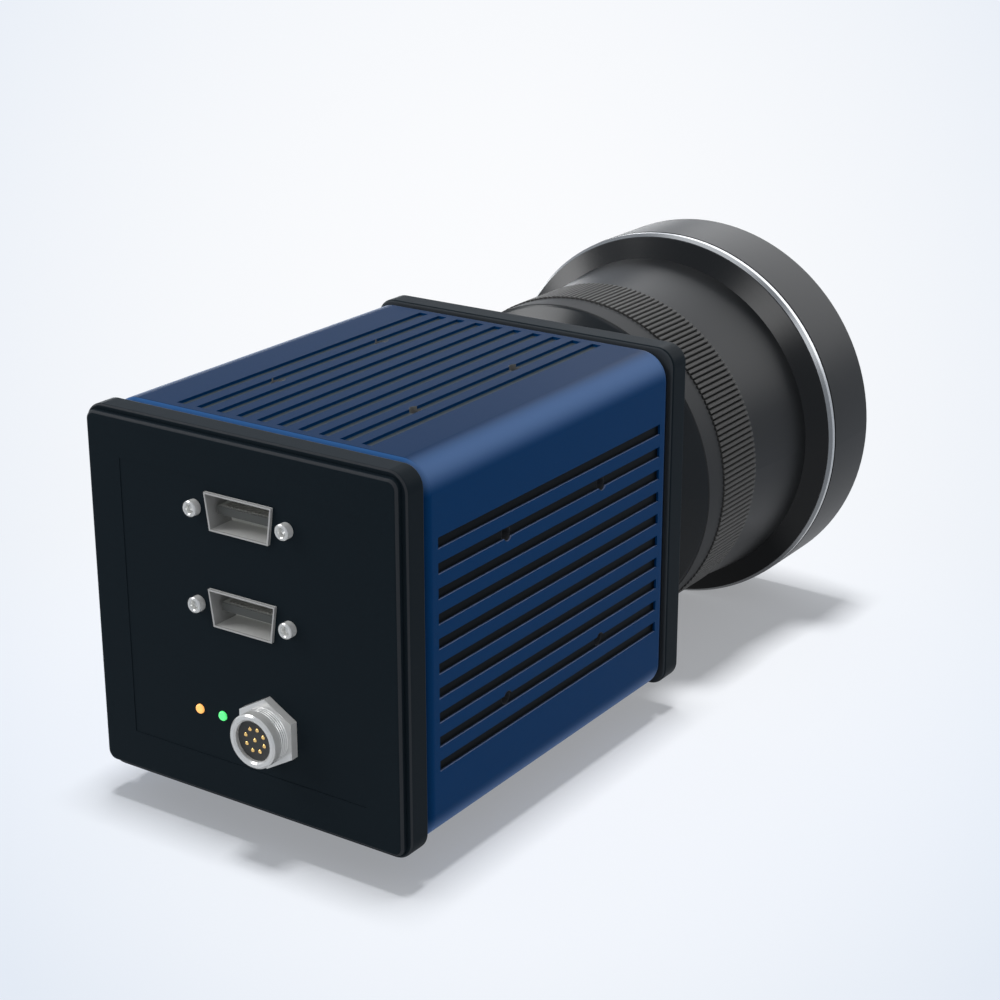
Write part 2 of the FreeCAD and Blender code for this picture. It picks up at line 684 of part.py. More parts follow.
# Status lamps: clear domed light pipes pressed through the rear cap.
def make_lamp(name, across):
    body = new_body(f"{name}_status_lamp", across, "dims.lamp_row")
    rear = "dims.rear_face + dims.recess_depth - dims.lamp_proud"
    turn(body, [
        ("0", rear),
        ("dims.lamp_radius", rear),
        ("dims.lamp_radius", "dims.board_level"),
        ("0", "dims.board_level"),
    ])
    level = size(rear)
    round_edges(body, "dims.lamp_edge", lambda edge: abs(edge.BoundBox.YMax - level) < SMALL)


# Power socket: a round shell held by a hexagon nut, with an insert and its contact pins.
def make_power_socket():
    rim = "dims.rear_face - dims.socket_reach"
    face = "dims.rear_face + dims.recess_depth"
    place = ("dims.socket_across", "dims.lamp_row")
    shell = new_body("power_socket_shell", *place)
    turn(shell, [
        ("dims.socket_bore", f"{rim} + dims.socket_edge"),
        ("dims.socket_bore + dims.socket_edge", rim),
        ("dims.socket_radius - dims.socket_edge", rim),
        ("dims.socket_radius", f"{rim} + dims.socket_edge"),
        ("dims.socket_radius", f"{face} - dims.nut_height"),
        ("dims.socket_neck", f"{face} - dims.nut_height"),
        ("dims.socket_neck", "dims.board_level - dims.board_gap"),
        ("dims.socket_bore", "dims.board_level - dims.board_gap"),
    ])
    nut = new_body("power_socket_nut", *place)
    sketch = cross_sketch(nut, f"{face} - dims.nut_height")
    hexagon(sketch, "dims.nut_flats")
    draw_circle(sketch, "dims.socket_neck")
    pad(nut, sketch, "dims.nut_height")
    insert = new_body("power_socket_insert", *place)
    insert_face = f"{rim} + dims.insert_back"
    sketch = cross_sketch(insert, insert_face)
    draw_circle(sketch, "dims.socket_bore")
    pad(insert, sketch, f"dims.board_level - ({insert_face})")
    pins = []
    sketch = cross_sketch(insert, insert_face)
    step = 360 / size("dims.pin_ring_count")
    ring = [(f"dims.pin_circle * cos(({turn_number * step} + dims.pin_ring_turn) * 1 deg)",
             f"dims.pin_circle * sin(({turn_number * step} + dims.pin_ring_turn) * 1 deg)")
            for turn_number in range(int(size("dims.pin_ring_count")))]
    tip = f"{insert_face} - dims.pin_proud"
    for number, (across, up) in enumerate([("0", "0")] + ring, start=1):
        draw_circle(sketch, "dims.pin_radius", across, up)
        pin = new_body(f"pin_{number}", f"{place[0]} + {across}", f"{place[1]} + {up}", keep=False)
        turn(pin, [
            ("0", tip),
            ("dims.pin_radius - dims.pin_edge", tip),
            ("dims.pin_radius", f"{tip} + dims.pin_edge"),
            ("dims.pin_radius", f"{insert_face} + dims.pin_hold"),
            ("0", f"{insert_face} + dims.pin_hold"),
        ])
        pins.append(pin)
    pocket(insert, sketch, "dims.pin_hold")
    group("power_socket_pins", pins)


def cylinder(name, radius, length, across, along, up, axis):
    """A plain cylinder along the optical axis ("Y") or across it ("X")."""
    solid = doc.addObject("Part::Cylinder", name)
    solid.setExpression("Radius", radius)
    solid.setExpression("Height", length)
    direction = Vector(0, 1, 0) if axis == "Y" else Vector(1, 0, 0)
    solid.Placement.Rotation = FreeCAD.Rotation(Vector(0, 0, 1), direction)
    settle(solid, across, along, up)
    return solid


def ball(name, radius, along):
    """A sphere centred on the optical axis."""
    solid = doc.addObject("Part::Sphere", name)
    solid.setExpression("Radius", radius)
    settle(solid, "0", along, "0")
    return solid


def combine(kind, label, base, tool, keep=True):
    """A Part boolean of two objects."""
    result = doc.addObject(kind, label)
    result.Label = label
    result.Base = base
    result.Tool = tool
    if keep:
        sub_parts.append(result)
    return made(result)


# Detector: a vacuum flask on a bulkhead, cooled by a small closed-cycle cooler on a saddle.
def make_detector():
    bulkhead = new_body("detector_bulkhead")
    sketch = cross_sketch(bulkhead, "dims.bulkhead_rear")
    draw_square(sketch, "dims.board_half")
    draw_circle(sketch, "dims.snout_radius + dims.rod_clearance")
    for across, up in rod_places():
        draw_circle(sketch, "dims.rod_radius + dims.rod_clearance", across, up)
    pad(bulkhead, sketch, "dims.bulkhead_front - dims.bulkhead_rear")
    flask = new_body("detector_flask")
    turn(flask, [
        ("0", "dims.dewar_rear"),
        ("dims.dewar_radius", "dims.dewar_rear"),
        ("dims.dewar_radius", "dims.bulkhead_rear - dims.flange_height"),
        ("dims.flange_radius", "dims.bulkhead_rear - dims.flange_height"),
        ("dims.flange_radius", "dims.bulkhead_rear"),
        ("dims.snout_radius", "dims.bulkhead_rear"),
        ("dims.snout_radius", "dims.snout_front"),
        ("0", "dims.snout_front"),
    ])
    window_front = "dims.snout_front + dims.window_thickness"
    filter_front = f"{window_front} + dims.filter_thickness"
    for label, rear, front in (
        ("flask_window", "dims.snout_front", window_front),
        ("gas_band_filter", window_front, filter_front),
    ):
        disc = new_body(label)
        sketch = cross_sketch(disc, rear)
        draw_circle(sketch, "dims.window_radius")
        pad(disc, sketch, f"{front} - ({rear})")
    motor = cylinder("cooler_motor", "dims.cooler_radius", "2 * dims.cooler_half",
                     "-dims.cooler_half", "dims.cooler_level", "0", "X")
    finger = cylinder("cooler_finger", "dims.finger_radius", "dims.dewar_rear - dims.cooler_level",
                      "0", "dims.cooler_level", "0", "Y")
    combine("Part::Fuse", "cryocooler", motor, finger)
    block = doc.addObject("Part::Box", "saddle_block")
    block.setExpression("Length", "dims.cooler_half")
    block.setExpression("Width", "dims.saddle_width")
    block.setExpression("Height", "dims.housing_half - dims.housing_wall")
    settle(block, "-dims.cooler_half / 2", "dims.cooler_level - dims.saddle_width / 2",
           "dims.housing_wall - dims.housing_half")
    seat = cylinder("saddle_seat", "dims.cooler_radius", "2 * dims.cooler_half",
                    "-dims.cooler_half", "dims.cooler_level", "0", "X")
    combine("Part::Cut", "cooler_saddle", block, seat)


def mount_screw_places():
    """The axes of the lens mount's screws, as pairs of expressions."""
    count = int(size("dims.mount_screw_count"))
    angles = [(number + 0.5) * 360 / count for number in range(count)]
    reach = "dims.mount_screw_circle"
    return [(f"{reach} * cos({angle} deg)", f"{reach} * sin({angle} deg)") for angle in angles]


# Lens mount: a ring on the front cap, held by screws from the front.
def make_lens_mount():
    body = new_body("lens_mount_ring")
    sketch = cross_sketch(body, "dims.front_cap_front")
    draw_circle(sketch, "dims.mount_radius")
    draw_circle(sketch, "dims.aperture_radius")
    for across, up in mount_screw_places():
        draw_circle(sketch, "dims.mount_screw_radius + dims.rod_clearance", across, up)
    pad(body, sketch, "dims.mount_front - dims.front_cap_front")
    sketch = cross_sketch(body, "dims.mount_front")
    for across, up in mount_screw_places():
        draw_circle(sketch, "dims.mount_screw_head + dims.rod_clearance", across, up)
    pocket(body, sketch, "dims.mount_head_height", rearward=True)
    seat = "dims.mount_front - dims.mount_head_height"
    screws = []
    for number, (across, up) in enumerate(mount_screw_places(), start=1):
        screw = new_body(f"mount_screw_{number}", across, up, keep=False)
        turn(screw, [
            ("0", "dims.front_cap_wall"),
            ("dims.mount_screw_radius", "dims.front_cap_wall"),
            ("dims.mount_screw_radius", seat),
            ("dims.mount_screw_head", seat),
            ("dims.mount_screw_head", "dims.mount_front"),
            ("0", "dims.mount_front"),
        ])
        screws.append(screw)
    group("lens_mount_screws", screws)


# Rear barrel: mount end, widening shoulder and plain band, and the guide tube in front on
# which the focus ring turns and inside which the lens cell slides.
def make_rear_barrel():
    body = new_body("rear_barrel")
    bore = "dims.cell_radius + dims.running_gap"
    turn(body, [
        ("dims.aperture_radius", "dims.mount_front"),
        ("dims.tail_radius", "dims.mount_front"),
        ("dims.tail_radius", "dims.tail_front"),
        ("dims.band_radius - dims.band_edge", "dims.band_rear"),
        ("dims.band_radius", "dims.band_rear + dims.band_edge"),
        ("dims.band_radius", "dims.ring_rear - dims.ring_gap"),
        ("dims.guide_radius", "dims.ring_rear - dims.ring_gap"),
        ("dims.guide_radius", "dims.guide_front"),
        (bore, "dims.guide_front"),
        (bore, "dims.cell_floor"),
        ("dims.aperture_radius", "dims.cell_floor"),
    ])


# Focus ring: a turned ring with fine straight teeth milled all round, running on the
# guide tube. Each tooth space is a V that takes half the pitch at the crest.
def make_focus_ring():
    body = new_body("focus_ring")
    length = "dims.ring_front - dims.ring_rear"
    sketch = cross_sketch(body, "dims.ring_rear")
    draw_circle(sketch, "dims.knurl_radius")
    draw_circle(sketch, "dims.guide_radius + dims.running_gap")
    pad(body, sketch, length)
    sketch = cross_sketch(body, "dims.ring_rear")
    root = "dims.knurl_radius - dims.knurl_depth"
    clear = "dims.knurl_radius + dims.knurl_depth"
    half = "pi * dims.knurl_radius / dims.knurl_teeth / 2"
    draw_outline(sketch, [
        (root, "0"),
        ("dims.knurl_radius", f"-{half}"),
        (clear, f"-{half}"),
        (clear, half),
        ("dims.knurl_radius", half),
    ])
    space = pocket(body, sketch, length)
    pattern(body, space, [("turn", "dims.knurl_teeth")])


# Lens cell: a tube that carries the middle lens and slides when the focus ring is turned.
def make_lens_cell():
    body = new_body("focus_cell")
    turn(body, [
        ("dims.cell_bore", "dims.cell_rear"),
        ("dims.cell_radius", "dims.cell_rear"),
        ("dims.cell_radius", "dims.cell_front"),
        ("dims.middle_glass_radius", "dims.cell_front"),
        ("dims.middle_glass_radius", "dims.middle_glass_rear"),
        ("dims.cell_bore", "dims.middle_glass_rear"),
    ])
    make_lens("focus_lens", "middle_glass")


def make_lens(label, glass, radius=None):
    """A lens with a flat back and a round front, sized by the sheet's values of one glass."""
    radius = radius or f"dims.{glass}_radius"
    rear = f"dims.{glass}_rear"
    vertex = f"dims.{glass}_vertex"
    curve = f"dims.{glass}_curve"
    disc = cylinder(f"{label}_disc", radius, f"{vertex} - ({rear})", "0", rear, "0", "Y")
    front = ball(f"{label}_front", curve, f"{vertex} - {curve}")
    combine("Part::Common", label, disc, front)


# Main barrel: a slightly tapered tube on the guide tube, flaring out to the bright trim
# ring, with a nose inside the bell that the front lens rests on.
def make_main_barrel():
    body = new_body("main_barrel")
    rear = "dims.ring_front + dims.ring_gap"
    turn(body, [
        ("dims.guide_radius", rear),
        ("dims.barrel_rear_radius", rear),
        ("dims.barrel_front_radius", "dims.flare_rear"),
        ("dims.flare_radius", "dims.flare_front"),
        ("dims.flare_radius", "dims.trim_rear"),
        ("dims.nose_radius", "dims.trim_rear"),
        ("dims.nose_radius", "dims.nose_front"),
        ("dims.nose_bore", "dims.nose_front"),
        ("dims.nose_bore", "dims.flare_rear"),
        ("dims.barrel_bore", "dims.barrel_step"),
        ("dims.barrel_bore", "dims.guide_front"),
        ("dims.guide_radius", "dims.guide_front"),
    ])


# Trim ring: a bright turned ring between the flare and the bell.
def make_trim_ring():
    body = new_body("trim_ring")
    turn(body, [
        ("dims.nose_radius", "dims.trim_rear"),
        ("dims.trim_inner", "dims.trim_rear"),
        ("dims.trim_radius", "dims.trim_rear + dims.trim_taper"),
        ("dims.trim_radius", "dims.trim_front"),
        ("dims.nose_radius", "dims.trim_front"),
    ])


# Bell: the wide black front ring that holds the front lens, with a bevelled mouth.
def make_bell():
    body = new_body("front_bell")
    turn(body, [
        ("dims.nose_radius", "dims.trim_front"),
        ("dims.bell_radius - dims.bell_groove", "dims.trim_front"),
        ("dims.bell_radius - dims.bell_groove", "dims.bell_rear"),
        ("dims.bell_radius", "dims.bell_rear"),
        ("dims.bell_radius", "dims.lens_front - dims.bell_edge"),
        ("dims.bell_radius - dims.bell_edge", "dims.lens_front"),
        ("dims.glass_radius + dims.mouth_bevel", "dims.lens_front"),
        ("dims.glass_radius", "dims.lens_front - dims.mouth_bevel"),
        ("dims.glass_radius", "dims.nose_front"),
        ("dims.nose_radius", "dims.nose_front"),
    ])


# Front lens: a large meniscus held on the nose by a threaded retaining ring.
def make_front_lens():
    disc = cylinder("glass_disc", "dims.glass_radius", "dims.glass_vertex - dims.nose_front",
                    "0", "dims.nose_front", "0", "Y")
    front = ball("glass_front", "dims.glass_front_curve", "dims.glass_vertex - dims.glass_front_curve")
    domed = combine("Part::Common", "glass_domed", disc, front, keep=False)
    back = ball("glass_back", "dims.glass_back_curve",
                "dims.glass_vertex - dims.glass_thickness - dims.glass_back_curve")
    combine("Part::Cut", "front_lens", domed, back)
    body = new_body("lens_retainer")
    edge = "dims.glass_radius - dims.retainer_lip"
    sag = f"(dims.glass_front_curve - sqrt(dims.glass_front_curve ^ 2 - ({edge}) ^ 2))"
    seat = f"dims.glass_vertex - {sag}"
    turn(body, [
        (edge, seat),
        ("dims.glass_radius", seat),
        ("dims.glass_radius", f"{seat} + dims.retainer_height"),
        (f"{edge} + dims.retainer_slope", f"{seat} + dims.retainer_height"),
    ])
    sketch = cross_sketch(body, f"{seat} + dims.retainer_height")
    reach = "(dims.glass_radius + dims.retainer_slope)"
    half = "dims.slot_width / 2"
    draw_rectangle(sketch, f"-{reach}", f"-({edge})", f"-{half}", half)
    draw_rectangle(sketch, edge, reach, f"-{half}", half)
    pocket(body, sketch, "dims.slot_depth", rearward=True)


# Rear lens: the field lens at the mount end, resting against the cell's guide bore.
def make_rear_lens():
    make_lens("rear_lens", "rear_glass", "dims.aperture_radius")
    body = new_body("rear_lens_ring")
    turn(body, [
        ("dims.rear_ring_bore", "dims.rear_ring_rear"),
        ("dims.aperture_radius", "dims.rear_ring_rear"),
        ("dims.aperture_radius", "dims.rear_glass_rear"),
        ("dims.rear_ring_bore", "dims.rear_glass_rear"),
    ])


make_housing()
make_rear_cap()
make_seal("rear_seal", "dims.rear_cap_front", "dims.housing_rear")
make_seal("front_seal", "dims.housing_front", "dims.front_cap_rear")
make_front_cap()
make_cap_screws()
make_tie_rods()
make_spacers()
make_board("interface_board", "dims.board_level", INTERFACE_CHIPS)
make_board("processing_board", "dims.processor_level", PROCESSOR_CHIPS)
for socket_name, socket_level in DATA_LEVELS.items():
    make_data_socket(socket_name, socket_level)
make_jack_posts()
for lamp_name, lamp_across in LAMPS.items():
    make_lamp(lamp_name, lamp_across)
make_power_socket()
make_detector()
make_lens_mount()
make_rear_barrel()
make_focus_ring()
make_lens_cell()
make_main_barrel()
make_trim_ring()
make_bell()
make_front_lens()
make_rear_lens()
doc.recompute()

faults = [item.Name for item in doc.Objects if "Invalid" in item.State or "Error" in item.State]
faults += [item.Label for item in sub_parts if item.Shape.isNull() or not item.Shape.isValid()]
if faults:
    raise RuntimeError(f"these objects failed: {faults}")
os.makedirs("parts", exist_ok=True)
for item in sub_parts:
    item.Shape.exportStep(os.path.join("parts", item.Label + ".step"))
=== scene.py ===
import bpy
import math
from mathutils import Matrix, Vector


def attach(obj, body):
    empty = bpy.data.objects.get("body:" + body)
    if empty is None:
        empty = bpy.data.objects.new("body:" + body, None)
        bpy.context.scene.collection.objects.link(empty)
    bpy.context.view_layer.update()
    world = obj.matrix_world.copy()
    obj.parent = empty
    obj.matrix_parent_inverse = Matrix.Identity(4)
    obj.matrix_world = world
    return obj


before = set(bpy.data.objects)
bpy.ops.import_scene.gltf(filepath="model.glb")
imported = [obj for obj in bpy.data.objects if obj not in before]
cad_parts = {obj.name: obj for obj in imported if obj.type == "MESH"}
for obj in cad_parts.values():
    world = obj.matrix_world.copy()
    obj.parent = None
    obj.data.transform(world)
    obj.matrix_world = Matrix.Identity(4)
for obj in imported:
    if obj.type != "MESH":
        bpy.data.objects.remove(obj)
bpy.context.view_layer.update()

# Studio: a pale floor that fades to a cool grey under a pale sky, seen from above the rear right
# corner. Soft lights stand round the object and leave the floor out. One more, high above,
# lights only the floor and gives it a compact shadow.
AXIS_HEIGHT = 0.0666
REAR_FACE = -0.12575
CAMERA_FROM_AXIS = (0.36738, -0.41656, 0.23938)
CAMERA_TURN = math.radians(34.06)
CAMERA_DROP = math.radians(20.07)
CAMERA_LENS = 77.9
SENSOR_WIDTH = 36.0
FLOOR_SIZE = 12.0
FLOOR_ROUGHNESS = 0.9
FLOOR_BOUNCE = (0.84, 0.855, 0.875, 1)
PALE_MIDDLE = (0.965, 0.973, 0.991, 1)
PALE_EDGE = (0.775, 0.83, 0.913, 1)
PALE_CENTRE = 0.06
FADE_ACROSS = 10.2
FADE_UP = 6.1
SHADOW_NEAR = 0.12
SHADOW_FAR = 0.24
GLOW_NEAR = 0.33
GLOW_FAR = 1.0
SKY_STRENGTH = 0.2
scene = bpy.context.scene
scene.view_settings.view_transform = "Standard"

camera_data = bpy.data.cameras.new("studio_camera")
camera_data.lens = CAMERA_LENS
camera_data.sensor_width = SENSOR_WIDTH
camera = bpy.data.objects.new("studio_camera", camera_data)
camera.location = (
    CAMERA_FROM_AXIS[0],
    CAMERA_FROM_AXIS[1] + REAR_FACE,
    CAMERA_FROM_AXIS[2] + AXIS_HEIGHT,
)
camera.rotation_euler = (math.pi / 2 - CAMERA_DROP, 0, CAMERA_TURN)
scene.collection.objects.link(camera)
scene.camera = camera


def wiring(material):
    """The nodes, links and main shader of a material."""
    tree = material.node_tree
    return tree.nodes, tree.links, tree.nodes["Principled BSDF"]


def new_material(name):
    """A new material with its nodes, links and main shader."""
    material = bpy.data.materials.new(name)
    material.use_nodes = True
    return (material, *wiring(material))


def add_node(nodes, kind, **values):
    """A shader node with its settings and input values, given by name."""
    node = nodes.new(kind)
    for name, value in values.items():
        if hasattr(node, name):
            setattr(node, name, value)
        else:
            node.inputs[name.replace("_", " ")].default_value = value
    return node


def calc(nodes, links, operation, *values):
    """A math node fed by sockets or plain numbers."""
    node = add_node(nodes, "ShaderNodeMath", operation=operation)
    for socket, value in zip(node.inputs, values):
        if isinstance(value, (int, float)):
            socket.default_value = value
        else:
            links.new(value, socket)
    return node.outputs[0]


def stretch(nodes, links, value, **limits):
    """A number carried over from one range to another."""
    node = add_node(nodes, "ShaderNodeMapRange", **limits)
    links.new(value, node.inputs["Value"])
    return node.outputs[0]


def blend_colours(nodes, links, share, first, second):
    """A mix of two colours, each a socket or a plain colour."""
    node = add_node(nodes, "ShaderNodeMix", data_type="RGBA", clamp_factor=True)
    links.new(share, node.inputs["Factor"])
    for letter, colour in (("A", first), ("B", second)):
        if isinstance(colour, tuple):
            node.inputs[letter].default_value = colour
        else:
            links.new(colour, node.inputs[letter])
    return node.outputs["Result"]


def object_place(nodes, links):
    """The Object coordinates of a surface, whole and as three numbers."""
    place = add_node(nodes, "ShaderNodeTexCoord").outputs["Object"]
    parts = add_node(nodes, "ShaderNodeSeparateXYZ")
    links.new(place, parts.inputs[0])
    return place, parts.outputs["X"], parts.outputs["Y"], parts.outputs["Z"]


def background_rays(nodes, links):
    """One for rays that look at the background straight, in a mirror or through glass."""
    rays = add_node(nodes, "ShaderNodeLightPath").outputs
    mirrored = calc(nodes, links, "MAXIMUM", rays["Is Glossy Ray"], rays["Is Transmission Ray"])
    return calc(nodes, links, "MAXIMUM", rays["Is Camera Ray"], mirrored)


bpy.ops.object.select_all(action="DESELECT")
bpy.ops.mesh.primitive_plane_add(size=FLOOR_SIZE, location=(0, 0, 0))
floor = bpy.context.object
floor.name = "studio_floor"
floor_paint, nodes, links, shader = new_material("studio_floor_paint")
shader.inputs["Roughness"].default_value = FLOOR_ROUGHNESS
shader.inputs["Specular IOR Level"].default_value = 0.0
place, east, north, _ = object_place(nodes, links)
east = calc(nodes, links, "SUBTRACT", east, camera.location.x)
north = calc(nodes, links, "SUBTRACT", north, camera.location.y)
along = calc(nodes, links, "MULTIPLY_ADD", east, -math.sin(CAMERA_TURN),
             calc(nodes, links, "MULTIPLY", north, math.cos(CAMERA_TURN)))
beside = calc(nodes, links, "MULTIPLY_ADD", east, math.cos(CAMERA_TURN),
              calc(nodes, links, "MULTIPLY", north, math.sin(CAMERA_TURN)))
reach = calc(nodes, links, "MULTIPLY_ADD", along, math.cos(CAMERA_DROP),
             camera.location.z * math.sin(CAMERA_DROP))
rise = calc(nodes, links, "MULTIPLY_ADD", along, math.sin(CAMERA_DROP),
            -camera.location.z * math.cos(CAMERA_DROP))
wide = calc(nodes, links, "POWER", calc(nodes, links, "DIVIDE", beside, reach), 2.0)
high = calc(nodes, links, "DIVIDE", rise, reach)
high = calc(nodes, links, "POWER", calc(nodes, links, "SUBTRACT", high, PALE_CENTRE), 2.0)
fade = calc(nodes, links, "MULTIPLY_ADD", wide, FADE_ACROSS,
            calc(nodes, links, "MULTIPLY", high, FADE_UP))
pale = blend_colours(nodes, links, fade, PALE_MIDDLE, PALE_EDGE)
looked_at = background_rays(nodes, links)
links.new(blend_colours(nodes, links, looked_at, FLOOR_BOUNCE, pale),
          shader.inputs["Base Color"])
glow = add_node(nodes, "ShaderNodeEmission")
links.new(pale, glow.inputs["Color"])
away = add_node(nodes, "ShaderNodeVectorMath", operation="LENGTH")
links.new(place, away.inputs[0])
open_floor = stretch(nodes, links, away.outputs["Value"], interpolation_type="SMOOTHSTEP",
                     From_Min=SHADOW_NEAR, From_Max=SHADOW_FAR,
                     To_Min=GLOW_NEAR, To_Max=GLOW_FAR)
both = add_node(nodes, "ShaderNodeMixShader")
links.new(calc(nodes, links, "MULTIPLY", open_floor, looked_at), both.inputs[0])
links.new(shader.outputs[0], both.inputs[1])
links.new(glow.outputs[0], both.inputs[2])
links.new(both.outputs[0], nodes["Material Output"].inputs["Surface"])
floor.data.materials.append(floor_paint)

world = bpy.data.worlds.new("studio_sky")
world.use_nodes = True
nodes = world.node_tree.nodes
links = world.node_tree.links
nodes["Background"].inputs["Color"].default_value = PALE_EDGE
sky = calc(nodes, links, "MULTIPLY_ADD", background_rays(nodes, links),
           1.0 - SKY_STRENGTH, SKY_STRENGTH)
links.new(sky, nodes["Background"].inputs["Strength"])
scene.world = world

floor_alone = bpy.data.collections.new("floor_alone")
floor_alone.objects.link(floor)
all_but_floor = bpy.data.collections.new("all_but_floor")
all_but_floor.objects.link(floor)
all_but_floor.collection_objects[0].light_linking.link_state = "EXCLUDE"


def soft_light(name, place, width, height, watts, lit=all_but_floor):
    """A soft light of a given size that faces the middle of the object."""
    lamp = bpy.data.lights.new(name, "AREA")
    lamp.shape = "RECTANGLE"
    lamp.size = width
    lamp.size_y = height
    lamp.energy = watts
    holder = bpy.data.objects.new(name, lamp)
    holder.location = place
    aim = Vector((0, 0, AXIS_HEIGHT)) - Vector(place)
    holder.rotation_euler = aim.to_track_quat("-Z", "Y").to_euler()
    holder.light_linking.receiver_collection = lit
    scene.collection.objects.link(holder)


soft_light("floor_light", (0.0, 0.0, 4.0), width=0.8, height=0.8, watts=140, lit=floor_alone)
soft_light("overhead_light", (-0.1, 0.1, 1.5), width=1.1, height=1.1, watts=8)
soft_light("front_light", (0.2, 1.5, 0.8), width=2.2, height=1.0, watts=17)
soft_light("right_light", (1.5, -0.2, 1.1), width=0.8, height=0.8, watts=6)
soft_light("horizon_light", (-1.7, 1.3, 0.12), width=2.4, height=0.36, watts=10)
soft_light("left_light", (-1.15, -0.58, 1.15), width=0.9, height=0.65, watts=15)
soft_light("low_left_light", (-1.35, -0.7, 0.35), width=0.5, height=0.32, watts=5)
soft_light("rear_light", (0.1, -1.57, 0.6), width=0.52, height=0.46, watts=6)

# Housing: an aluminium extrusion, bead blasted and anodised a deep satin blue. Painted shade
# darkens its top faces, and painted highlights pale its rounded corners and rounded rear end.
# The milled grooves are black, with blue walls on the top side; painted sheen lightens their
# faces that look up and the holes on the top, and a painted highlight runs along the lower lips
# of the side grooves.
HOUSING_HALF = 0.0559
CORNER_RADIUS = 0.009
ROUNDED_END = REAR_FACE + 0.0122
GROOVE_FLOOR = 0.00075
GROOVE_REACH = 0.0352
GROOVE_REAR = REAR_FACE + 0.0148
GROOVE_FRONT = REAR_FACE + 0.1317
HOLE_MIDDLE = REAR_FACE + 0.07325
HOLE_OFFSET = 0.025
HOLE_RADIUS = 0.00216
LIP_WIDTH = 0.0005
LIP_SHARE = 0.48
BLUE_LIGHT = (0.0013, 0.032, 0.107, 1)
BLUE_DARK = (0.001, 0.0265, 0.091, 1)
BLUE_TOP_PAINTED_SHADE = (0.0016, 0.020, 0.066, 1)
BLUE_CORNER_PAINTED_HIGHLIGHT = (0.07, 0.135, 0.285, 1)
BLUE_END_PAINTED_HIGHLIGHT = (0.022, 0.08, 0.215, 1)
GROOVE_BLACK = (0.004, 0.0055, 0.007, 1)
GROOVE_BLUE = (0.004, 0.055, 0.15, 1)
GROOVE_PAINTED_SHEEN = (0.050, 0.062, 0.072, 1)
HOLE_DARK = (0.05, 0.054, 0.06, 1)
HOLE_TOP_PAINTED_LIGHT = (0.15, 0.15, 0.145, 1)
LIP_PAINTED_HIGHLIGHT = (0.16, 0.21, 0.36, 1)
BLUE_REFRACTION = 1.08
BLUE_SMOOTH = 0.33
BLUE_ROUGH = 0.41
BLAST_SCALE = 2600.0
BLAST_RELIEF = 0.05
GRAIN_HEIGHT = 0.0001
FACES_UP = 0.5
TOP_FALLOFF = 3.0


def facing(nodes, links):
    """The direction that a surface faces, as three numbers."""
    parts = add_node(nodes, "ShaderNodeSeparateXYZ")
    links.new(add_node(nodes, "ShaderNodeTexCoord").outputs["Normal"], parts.inputs[0])
    return parts.outputs["X"], parts.outputs["Y"], parts.outputs["Z"]


def all_of(nodes, links, first, *others):
    """One where every test gives one."""
    for other in others:
        first = calc(nodes, links, "MULTIPLY", first, other)
    return first


def add_relief(nodes, links, shader, height, **values):
    """Fine relief on a surface, from a pattern's height."""
    relief = add_node(nodes, "ShaderNodeBump", **values)
    links.new(height, relief.inputs["Height"])
    links.new(relief.outputs[0], shader.inputs["Normal"])


def give(material, *names):
    """Puts one material on CAD nodes, in every slot they have."""
    for name in names:
        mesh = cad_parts[name].data
        mesh.materials.clear()
        mesh.materials.append(material)


anodised_blue, nodes, links, shader = new_material("anodised_blue")
shader.inputs["IOR"].default_value = BLUE_REFRACTION
place, across, along, up = object_place(nodes, links)
upward = facing(nodes, links)[2]
grain = add_node(nodes, "ShaderNodeTexNoise", Scale=BLAST_SCALE, Detail=2.0)
links.new(place, grain.inputs["Vector"])
blue = blend_colours(nodes, links, grain.outputs["Fac"], BLUE_DARK, BLUE_LIGHT)
# Painted shade: faces that look up get a darker blue.
painted_top_shade = calc(nodes, links, "POWER", upward, TOP_FALLOFF)
blue = blend_colours(nodes, links, painted_top_shade, blue, BLUE_TOP_PAINTED_SHADE)
# Painted highlight: the upper faces of the rounded rear end get a paler blue.
painted_end_highlight = calc(nodes, links, "LESS_THAN", along, ROUNDED_END)
painted_end_highlight = calc(nodes, links, "MULTIPLY", painted_end_highlight, upward)
blue = blend_colours(nodes, links, painted_end_highlight, blue, BLUE_END_PAINTED_HIGHLIGHT)
across = calc(nodes, links, "ABSOLUTE", across)
up = calc(nodes, links, "ABSOLUTE", calc(nodes, links, "SUBTRACT", up, AXIS_HEIGHT))
outward = calc(nodes, links, "MAXIMUM", across, up)
sideways = calc(nodes, links, "MINIMUM", across, up)
# Painted highlight: a paler blue streak along the middle of each rounded corner.
corner_middle = HOUSING_HALF - CORNER_RADIUS * (1.0 - math.sqrt(0.5))
painted_corner_highlight = stretch(nodes, links, sideways, interpolation_type="SMOOTHSTEP",
                   From_Min=HOUSING_HALF - CORNER_RADIUS, From_Max=corner_middle)
blue = blend_colours(nodes, links, painted_corner_highlight, blue, BLUE_CORNER_PAINTED_HIGHLIGHT)
level = calc(nodes, links, "GREATER_THAN", upward, FACES_UP)
on_top = calc(nodes, links, "GREATER_THAN", up, across)
sunk = all_of(
    nodes, links,
    calc(nodes, links, "LESS_THAN", outward, HOUSING_HALF - GROOVE_FLOOR),
    calc(nodes, links, "LESS_THAN", sideways, GROOVE_REACH),
    calc(nodes, links, "GREATER_THAN", along, GROOVE_REAR),
    calc(nodes, links, "LESS_THAN", along, GROOVE_FRONT),
)
